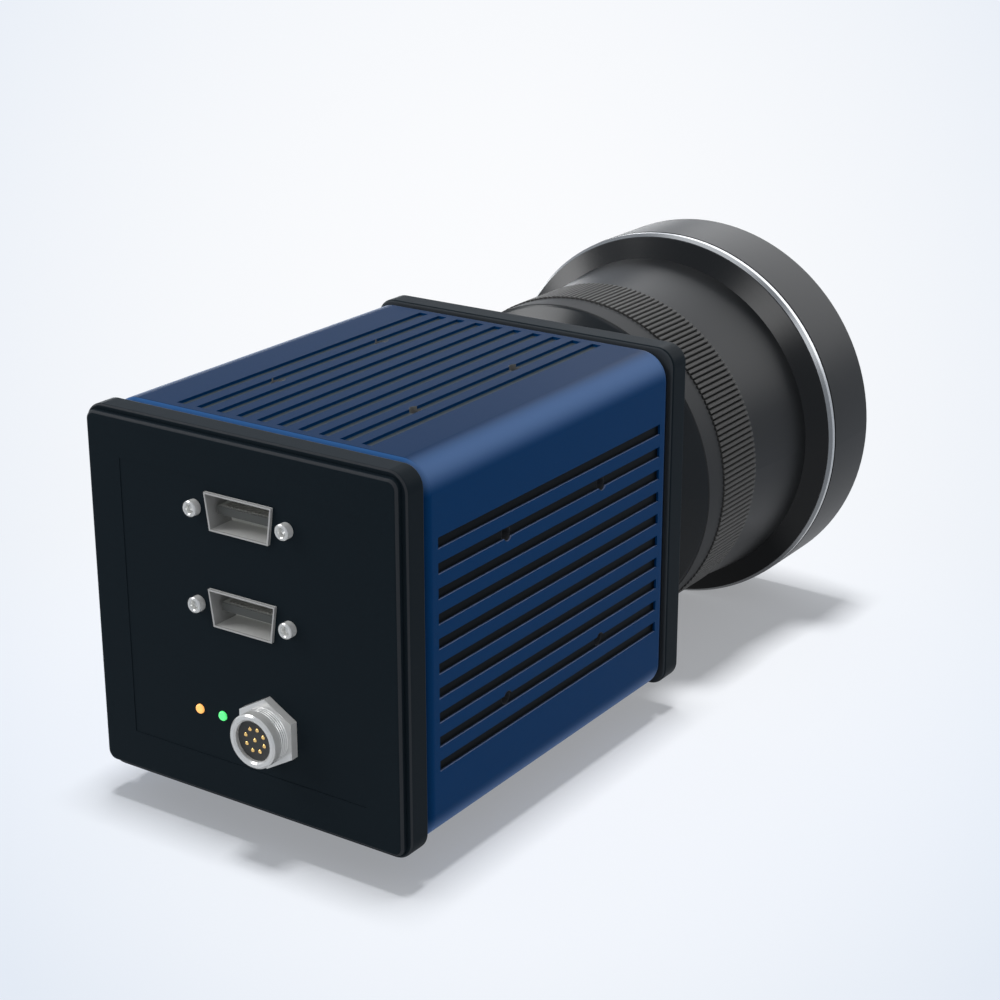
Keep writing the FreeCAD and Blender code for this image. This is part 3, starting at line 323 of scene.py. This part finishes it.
# In the grooves: black floors, blue walls on the top side, and a painted sheen on faces that
# look up.
groove = blend_colours(nodes, links, on_top, GROOVE_BLACK, GROOVE_BLUE)
groove = blend_colours(nodes, links, level, groove, GROOVE_PAINTED_SHEEN)
blue = blend_colours(nodes, links, sunk, blue, groove)
lengthwise = calc(nodes, links, "ABSOLUTE", calc(nodes, links, "SUBTRACT", along, HOLE_MIDDLE))
lengthwise = calc(nodes, links, "SUBTRACT", lengthwise, HOLE_OFFSET)
crosswise = calc(nodes, links, "SUBTRACT", sideways, HOLE_OFFSET)
from_hole = calc(nodes, links, "ADD", calc(nodes, links, "POWER", lengthwise, 2.0),
                 calc(nodes, links, "POWER", crosswise, 2.0))
in_hole = calc(nodes, links, "LESS_THAN", from_hole, HOLE_RADIUS ** 2)
# The holes are dark inside; on the top side they get a paler grey, painted light.
hole = blend_colours(nodes, links, on_top, HOLE_DARK, HOLE_TOP_PAINTED_LIGHT)
blue = blend_colours(nodes, links, in_hole, blue, hole)
lip_middle = HOUSING_HALF - LIP_WIDTH / 2
# Painted highlight along the lower lips of the side grooves.
painted_lip_highlight = all_of(
    nodes, links,
    calc(nodes, links, "COMPARE", across, lip_middle, LIP_WIDTH * LIP_SHARE),
    calc(nodes, links, "LESS_THAN", up, GROOVE_REACH),
    level,
)
blue = blend_colours(nodes, links, painted_lip_highlight, blue, LIP_PAINTED_HIGHLIGHT)
links.new(blue, shader.inputs["Base Color"])
satin = stretch(nodes, links, grain.outputs["Fac"], To_Min=BLUE_SMOOTH, To_Max=BLUE_ROUGH)
links.new(satin, shader.inputs["Roughness"])
add_relief(nodes, links, shader, grain.outputs["Fac"],
           Strength=BLAST_RELIEF, Distance=GRAIN_HEIGHT)
give(anodised_blue, "housing")

# End caps: plates milled square with rounded edges, bead blasted and anodised black. Tie rods
# hold them against the ends of the housing. A paler tone is painted on as light: a highlight on
# the rear cap's rounded edges, and light on the front cap's faces that look back.
CAP_LIGHT = (0.0068, 0.0112, 0.0145, 1)
CAP_DARK = (0.005, 0.0083, 0.0115, 1)
CAP_EDGE_PAINTED_HIGHLIGHT = (0.028, 0.031, 0.035, 1)
CAP_RIM_PAINTED_LIGHT = (0.035, 0.04, 0.045, 1)
GLOSS_SPREAD = 0.04


def grained(name, light, dark, roughness, refraction, scale, relief):
    """A fine even finish with a faint grain in its colour, gloss and relief."""
    material, nodes, links, shader = new_material(name)
    shader.inputs["IOR"].default_value = refraction
    grain = add_node(nodes, "ShaderNodeTexNoise", Scale=scale, Detail=3.0)
    links.new(object_place(nodes, links)[0], grain.inputs["Vector"])
    pattern = grain.outputs["Fac"]
    links.new(blend_colours(nodes, links, pattern, dark, light), shader.inputs["Base Color"])
    gloss = stretch(nodes, links, pattern,
                    To_Min=roughness - GLOSS_SPREAD, To_Max=roughness + GLOSS_SPREAD)
    links.new(gloss, shader.inputs["Roughness"])
    add_relief(nodes, links, shader, pattern, Strength=relief, Distance=GRAIN_HEIGHT)
    return material


def cap_finish(name, lean, spread, tone):
    """The black of a cap, with another tone painted as light where its faces lean back by a
    given amount.
    """
    material = grained(name, CAP_LIGHT, CAP_DARK, roughness=0.42, refraction=1.09,
                       scale=2400.0, relief=0.06)
    nodes, links, shader = wiring(material)
    colour = shader.inputs["Base Color"]
    painted_light_where_leaning = calc(nodes, links, "COMPARE", facing(nodes, links)[1], lean, spread)
    links.new(blend_colours(nodes, links, painted_light_where_leaning, colour.links[0].from_socket, tone), colour)
    return material


# Painted highlight: the rear cap's rounded edges get a paler tone.
give(cap_finish("rear_cap_black", lean=-0.6, spread=0.33, tone=CAP_EDGE_PAINTED_HIGHLIGHT), "rear_cap")
# Painted light: the front cap's faces that look back get a paler tone.
give(cap_finish("front_cap_black", lean=-1.0, spread=0.3, tone=CAP_RIM_PAINTED_LIGHT), "front_cap")

# Seals: frames cut from black rubber sheet. They are squeezed between the caps and the
# housing and keep dust and water out.
SEAL_LIGHT = (0.010, 0.010, 0.011, 1)
SEAL_DARK = (0.006, 0.006, 0.007, 1)
seal_rubber = grained("seal_rubber", SEAL_LIGHT, SEAL_DARK, roughness=0.75, refraction=1.08,
                      scale=900.0, relief=0.1)
give(seal_rubber, "rear_seal", "front_seal")

# Cap screws: socket screws of blackened steel, sunk into the front cap. They go into the tie
# rods and pull both caps against the housing.
STEEL_LIGHT = (0.035, 0.035, 0.036, 1)
STEEL_DARK = (0.02, 0.02, 0.021, 1)
black_steel = grained("black_steel", STEEL_LIGHT, STEEL_DARK, roughness=0.4, refraction=1.3,
                      scale=1200.0, relief=0.05)
give(black_steel, "front_cap_screws")

# Data sockets: shells folded from nickel-plated sheet, each round a grey moulded block
# whose tongue carries two rows of plated contact strips.
SHELL_SHEET = (0.31, 0.31, 0.305, 1)
SHELL_FLOOR_PAINTED_LIGHT = (0.52, 0.52, 0.505, 1)
SHELL_MOUTH = REAR_FACE - 0.0015
BLOCK_LIGHT = (0.36, 0.37, 0.35, 1)
BLOCK_DARK = (0.31, 0.32, 0.30, 1)
BLOCK_TIP_PAINTED_SHADE = (0.055, 0.058, 0.055, 1)
TONGUE_TIP = REAR_FACE + 0.0011
TONGUE_HALF = 0.0012
SOCKET_ACROSS = 0.0012
SOCKET_HEIGHTS = {"upper": AXIS_HEIGHT + 0.03335, "lower": AXIS_HEIGHT + 0.00472}
STRIP_PLATING = (0.30, 0.29, 0.27, 1)
STRIP_COUNT = 13
STRIP_PITCH = 0.00127
STRIP_SIZE = (0.0007, 0.0052, 0.00018)
STRIP_MIDDLE = REAR_FACE + 0.0044
STRIP_SUNK = 0.00003
STRIP_TIP = STRIP_SIZE[2] * 0.8
TINT_SPREAD = 0.12
HAZE_SPREAD = 0.25


def shades(colour):
    """A slightly darker and a slightly lighter shade of a colour."""
    amounts = (1 - TINT_SPREAD, 1 + TINT_SPREAD)
    return [tuple(part * amount for part in colour[:3]) + (1,) for amount in amounts]


def plated(name, colour, metallic, roughness, scale):
    """Plated metal with a faint unevenness in its colour and gloss."""
    material, nodes, links, shader = new_material(name)
    shader.inputs["Metallic"].default_value = metallic
    haze = add_node(nodes, "ShaderNodeTexNoise", Scale=scale, Detail=4.0)
    links.new(object_place(nodes, links)[0], haze.inputs["Vector"])
    pattern = haze.outputs["Fac"]
    gloss = stretch(nodes, links, pattern, To_Min=roughness * (1 - HAZE_SPREAD),
                    To_Max=roughness * (1 + HAZE_SPREAD))
    links.new(gloss, shader.inputs["Roughness"])
    links.new(blend_colours(nodes, links, pattern, *shades(colour)), shader.inputs["Base Color"])
    return material


shell_nickel = plated("shell_nickel", SHELL_SHEET, metallic=0.1, roughness=0.4, scale=900.0)
nodes, links, shader = wiring(shell_nickel)
# Painted light: the shell's inner faces that look up get a paler sheet colour.
painted_light_on_floor = all_of(
    nodes, links,
    calc(nodes, links, "GREATER_THAN", object_place(nodes, links)[2], SHELL_MOUTH),
    calc(nodes, links, "GREATER_THAN", facing(nodes, links)[2], FACES_UP),
)
links.new(blend_colours(nodes, links, painted_light_on_floor, SHELL_SHEET, SHELL_FLOOR_PAINTED_LIGHT),
          shader.inputs["Base Color"])
give(shell_nickel, "upper_data_shell", "lower_data_shell")

block_grey = grained("block_grey", BLOCK_LIGHT, BLOCK_DARK, roughness=0.5, refraction=1.3,
                     scale=1500.0, relief=0.05)
nodes, links, shader = wiring(block_grey)
# Painted shade: the front face of each tongue is dark.
painted_shade_on_tip = calc(nodes, links, "LESS_THAN", object_place(nodes, links)[2], TONGUE_TIP)
moulded = shader.inputs["Base Color"]
links.new(blend_colours(nodes, links, painted_shade_on_tip, moulded.links[0].from_socket, BLOCK_TIP_PAINTED_SHADE), moulded)
give(block_grey, "upper_data_contacts", "lower_data_contacts")

strip_plating = plated("strip_plating", STRIP_PLATING, metallic=0.5, roughness=0.35,
                       scale=1500.0)


def strip_row(name, height, side):
    """A row of contact strips above or below a tongue: one with a sloped tip, repeated."""
    bpy.ops.object.select_all(action="DESELECT")
    first = SOCKET_ACROSS - STRIP_PITCH * (STRIP_COUNT - 1) / 2
    middle = height + side * (TONGUE_HALF + STRIP_SIZE[2] / 2 - STRIP_SUNK)
    bpy.ops.mesh.primitive_cube_add(size=1, location=(first, STRIP_MIDDLE, middle))
    row = bpy.context.object
    row.name = name
    row.scale = STRIP_SIZE
    bpy.ops.object.transform_apply(location=True, rotation=True, scale=True)
    bpy.ops.object.mode_set(mode="EDIT")
    bpy.ops.mesh.select_mode(type="EDGE")
    bpy.ops.mesh.select_all(action="DESELECT")
    bpy.ops.object.mode_set(mode="OBJECT")
    for edge in row.data.edges:
        ends = [row.data.vertices[index].co for index in edge.vertices]
        edge.select = all(end.y < STRIP_MIDDLE and (end.z - middle) * side > 0 for end in ends)
    bpy.ops.object.mode_set(mode="EDIT")
    bpy.ops.mesh.bevel(offset=STRIP_TIP, segments=3, affect="EDGES")
    bpy.ops.object.mode_set(mode="OBJECT")
    repeat = row.modifiers.new("row", "ARRAY")
    repeat.use_relative_offset = False
    repeat.use_constant_offset = True
    repeat.constant_offset_displace = (STRIP_PITCH, 0, 0)
    repeat.count = STRIP_COUNT
    bpy.ops.object.modifier_apply(modifier="row")
    row.data.materials.append(strip_plating)
    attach(row, "camera")


for level, height in SOCKET_HEIGHTS.items():
    strip_row(f"{level}_strips_above", height, 1)
    strip_row(f"{level}_strips_below", height, -1)

# Jack posts: turned posts with a threaded hole for a plug's screws, nickel plated and bright.
# They are screwed in on both sides of the data sockets.
POST_FACE = (0.48, 0.48, 0.47, 1)
NICKEL_SIDE_PAINTED_SHEEN = (0.92, 0.92, 0.90, 1)
FACES_SIDEWAYS = 0.5


def turned_nickel(name, face, side):
    """Bright nickel on a turned piece, with a painted sheen that makes its outside paler than
    its end faces.
    """
    material = plated(name, face, metallic=0.45, roughness=0.16, scale=700.0)
    nodes, links, shader = wiring(material)
    tilt = calc(nodes, links, "ABSOLUTE", facing(nodes, links)[1])
    # Painted sheen: faces that look sideways get the paler side colour.
    painted_sheen_on_side = calc(nodes, links, "LESS_THAN", tilt, FACES_SIDEWAYS)
    links.new(blend_colours(nodes, links, painted_sheen_on_side, face, side), shader.inputs["Base Color"])
    return material


give(turned_nickel("bright_nickel", POST_FACE, NICKEL_SIDE_PAINTED_SHEEN), "jack_posts")

# Power socket: a turned brass shell with a fine thread and its hexagon nut, both nickel
# plated, round a black moulded insert that holds nine gold-plated pins.
SOCKET_FACE = (0.52, 0.52, 0.51, 1)
SOCKET_SIDE_PAINTED_SHEEN = (0.78, 0.78, 0.765, 1)
THREAD_SCALE = 419.0  # about 0.75 mm from crest to crest
THREAD_DEPTH = 0.00015
THREAD_START = REAR_FACE - 0.0066
INSERT_LIGHT = (0.055, 0.056, 0.055, 1)
INSERT_DARK = (0.030, 0.031, 0.031, 1)
PIN_GOLD = (0.85, 0.55, 0.2, 1)
give(turned_nickel("socket_nickel", SOCKET_FACE, NICKEL_SIDE_PAINTED_SHEEN), "power_socket_nut")

threaded_nickel = turned_nickel("threaded_nickel", SOCKET_FACE, SOCKET_SIDE_PAINTED_SHEEN)
nodes, links, shader = wiring(threaded_nickel)
place, _, along, _ = object_place(nodes, links)
thread = add_node(nodes, "ShaderNodeTexWave", bands_direction="Y", Scale=THREAD_SCALE)
links.new(place, thread.inputs["Vector"])
threaded = calc(nodes, links, "GREATER_THAN", along, THREAD_START)
ridges = calc(nodes, links, "MULTIPLY", thread.outputs["Fac"], threaded)
add_relief(nodes, links, shader, ridges, Distance=THREAD_DEPTH)
give(threaded_nickel, "power_socket_shell")

insert_black = grained("insert_black", INSERT_LIGHT, INSERT_DARK, roughness=0.5, refraction=1.2,
                       scale=1800.0, relief=0.1)
give(insert_black, "power_socket_insert")
give(plated("pin_gold", PIN_GOLD, metallic=0.9, roughness=0.25, scale=1200.0),
     "power_socket_pins")

# Status lamps: clear plastic light pipes pressed into the rear cap. Diodes on the board
# behind light one amber and one green.
LAMP_AMBER = (0.9, 0.40, 0.10, 1)
LAMP_GREEN = (0.08, 0.70, 0.18, 1)
LAMP_STRENGTH = 0.7
LAMP_ROUGHNESS = 0.2
LAMP_CLOUD_SCALE = 600.0
LAMP_BRIGHTER = 1.1


def lit_lamp(name, colour):
    """A glowing light pipe with a faint unevenness."""
    material, nodes, links, shader = new_material(name)
    shader.inputs["Base Color"].default_value = colour
    shader.inputs["Roughness"].default_value = LAMP_ROUGHNESS
    shader.inputs["Emission Strength"].default_value = LAMP_STRENGTH
    cloud = add_node(nodes, "ShaderNodeTexNoise", Scale=LAMP_CLOUD_SCALE)
    links.new(object_place(nodes, links)[0], cloud.inputs["Vector"])
    brighter = tuple(min(1.0, part * LAMP_BRIGHTER) for part in colour[:3]) + (1,)
    links.new(blend_colours(nodes, links, cloud.outputs["Fac"], colour, brighter),
              shader.inputs["Emission Color"])
    return material


give(lit_lamp("lamp_amber", LAMP_AMBER), "amber_status_lamp")
give(lit_lamp("lamp_green", LAMP_GREEN), "green_status_lamp")

# Lens barrels: turned from aluminium and anodised black. The rear one is screwed to the mount
# and has a glossy shoulder behind a duller band. The front one ends in a dark, glossy flare.
BARREL_BLACK = (0.007, 0.0075, 0.008, 1)
BARREL_GLOSS = 0.38
SHOULDER_FRONT = REAR_FACE + 0.1645
SHOULDER_BLACK = (0.001, 0.003, 0.0045, 1)
SHOULDER_GLOSS = 0.22
BAND_GLOSS = 0.62
FLARE_REAR = REAR_FACE + 0.2286
FLARE_BLACK = (0.002, 0.0025, 0.003, 1)
FLARE_GLOSS = 0.2
RING_GLOSS_SPREAD = 0.05
RING_HEIGHT = 0.00005


def turned(name, colour, roughness, metallic, refraction, pitch, relief):
    """A turned finish: fine rings round the optical axis in its colour, gloss and relief."""
    material, nodes, links, shader = new_material(name)
    shader.inputs["Metallic"].default_value = metallic
    shader.inputs["IOR"].default_value = refraction
    marks = add_node(nodes, "ShaderNodeTexNoise", noise_dimensions="1D",
                     Scale=1.0 / pitch, Detail=3.0)
    links.new(object_place(nodes, links)[2], marks.inputs["W"])
    pattern = marks.outputs["Fac"]
    gloss = stretch(nodes, links, pattern, To_Min=roughness - RING_GLOSS_SPREAD,
                    To_Max=roughness + RING_GLOSS_SPREAD)
    links.new(gloss, shader.inputs["Roughness"])
    links.new(blend_colours(nodes, links, pattern, *shades(colour)), shader.inputs["Base Color"])
    add_relief(nodes, links, shader, pattern, Strength=relief, Distance=RING_HEIGHT)
    return material


def parted(material, line, behind, ahead=None, glosses=None):
    """Parts a lens piece at a line round it: other colours, and glosses, behind and ahead."""
    nodes, links, shader = wiring(material)
    in_front = calc(nodes, links, "GREATER_THAN", object_place(nodes, links)[2], line)
    colour = shader.inputs["Base Color"]
    ahead = ahead or colour.links[0].from_socket
    links.new(blend_colours(nodes, links, in_front, behind, ahead), colour)
    if glosses:
        first, second = glosses
        links.new(calc(nodes, links, "MULTIPLY_ADD", in_front, second - first, first),
                  shader.inputs["Roughness"])


rear_black = turned("rear_black", BARREL_BLACK, roughness=0.40, metallic=0.0, refraction=1.32,
                    pitch=0.0004, relief=0.08)
parted(rear_black, SHOULDER_FRONT, SHOULDER_BLACK, glosses=(SHOULDER_GLOSS, BAND_GLOSS))
give(rear_black, "rear_barrel", "rear_lens_ring")
front_black = turned("front_black", BARREL_BLACK, BARREL_GLOSS, metallic=0.0, refraction=1.28,
                     pitch=0.0004, relief=0.08)
parted(front_black, FLARE_REAR, BARREL_BLACK, FLARE_BLACK, (BARREL_GLOSS, FLARE_GLOSS))
give(front_black, "main_barrel")

# Focus ring: turned aluminium with fine teeth milled all round, anodised dark grey. The
# roots between the teeth are painted dark as shade, so the crests stand lighter.
KNURL_CREST = (0.073, 0.072, 0.070, 1)
KNURL_ROOT_PAINTED_SHADE = (0.012, 0.012, 0.012, 1)
KNURL_ROOT_RADIUS = 0.0557
KNURL_CREST_RADIUS = 0.0564


def off_axis_square(nodes, links):
    """The square of a surface's distance from the optical axis."""
    _, across, _, up = object_place(nodes, links)
    up = calc(nodes, links, "SUBTRACT", up, AXIS_HEIGHT)
    return calc(nodes, links, "MULTIPLY_ADD", across, across,
                calc(nodes, links, "MULTIPLY", up, up))


knurl_grey = turned("knurl_grey", KNURL_CREST, roughness=0.5, metallic=0.0, refraction=1.15,
                    pitch=0.0006, relief=0.05)
nodes, links, shader = wiring(knurl_grey)
radius = calc(nodes, links, "SQRT", off_axis_square(nodes, links))
# Painted shade in the roots, fading out towards the crests.
painted_shade_to_crest = stretch(nodes, links, radius,
                 From_Min=KNURL_ROOT_RADIUS, From_Max=KNURL_CREST_RADIUS)
links.new(blend_colours(nodes, links, painted_shade_to_crest, KNURL_ROOT_PAINTED_SHADE, KNURL_CREST),
          shader.inputs["Base Color"])
give(knurl_grey, "focus_ring")

# Trim ring: a bare aluminium ring, turned bright, with a sloped rear edge. It is clamped
# between the barrel and the bell.
TRIM_SLOPE = (0.18, 0.185, 0.19, 1)
TRIM_BAND = (0.40, 0.405, 0.41, 1)
TRIM_EDGE = REAR_FACE + 0.2332
trim_bright = turned("trim_bright", TRIM_BAND, roughness=0.28, metallic=0.8, refraction=1.5,
                     pitch=0.0003, relief=0.03)
parted(trim_bright, TRIM_EDGE, TRIM_SLOPE, TRIM_BAND)
give(trim_bright, "trim_ring")

# Bell: the wide front ring that holds the front lens, turned and anodised matt black, with
# painted shade in the groove at its rear, and the threaded retaining ring in its mouth.
BELL_BLACK = (0.008, 0.0085, 0.009, 1)
BELL_GROOVE_PAINTED_SHADE = (0.0008, 0.0008, 0.0008, 1)
BELL_REAR = REAR_FACE + 0.2354
bell_black = turned("bell_black", BELL_BLACK, roughness=0.40, metallic=0.0, refraction=1.22,
                    pitch=0.0004, relief=0.08)
# Painted shade: the bell's rear edge, next to the trim ring, is near black.
parted(bell_black, BELL_REAR, BELL_GROOVE_PAINTED_SHADE, BELL_BLACK)
give(bell_black, "front_bell", "lens_retainer")

# Lenses, flask window and gas filter: polished germanium, held by rings and seats, with a
# dark coating that turns from violet in the middle to amber at the rim.
GLASS_VIOLET = (0.035, 0.012, 0.045, 1)
GLASS_AMBER = (0.12, 0.07, 0.05, 1)
GLASS_RIM = 0.057
GLASS_METALLIC = 0.6
GLASS_ROUGHNESS = 0.06
GLASS_COAT = 0.6
coated_glass, nodes, links, shader = new_material("coated_glass")
shader.inputs["Metallic"].default_value = GLASS_METALLIC
shader.inputs["Roughness"].default_value = GLASS_ROUGHNESS
shader.inputs["Coat Weight"].default_value = GLASS_COAT
to_rim = calc(nodes, links, "DIVIDE", off_axis_square(nodes, links), GLASS_RIM ** 2)
links.new(blend_colours(nodes, links, to_rim, GLASS_VIOLET, GLASS_AMBER),
          shader.inputs["Base Color"])
give(coated_glass, "front_lens", "focus_lens", "rear_lens", "flask_window", "gas_band_filter")

# Boards: circuit boards of glass fibre with green solder resist. They sit on the tie rods,
# held apart by spacer tubes.
BOARD_LIGHT = (0.02, 0.17, 0.06, 1)
BOARD_DARK = (0.012, 0.12, 0.04, 1)
board_green = grained("board_green", BOARD_LIGHT, BOARD_DARK, roughness=0.35, refraction=1.4,
                      scale=700.0, relief=0.05)
give(board_green, "interface_board", "processing_board")

# Inner metal pieces: rods, tubes, detector, cooler, mount ring and lens cell, all turned or
# milled and left bare.
METAL_BARE = (0.58, 0.58, 0.6, 1)
bare_metal = turned("bare_metal", METAL_BARE, roughness=0.35, metallic=1.0, refraction=1.5,
                    pitch=0.0005, relief=0.05)
give(bare_metal, "tie_rods", "spacer_tubes", "detector_bulkhead", "detector_flask",
     "cryocooler", "cooler_saddle", "lens_mount_ring", "lens_mount_screws", "focus_cell")
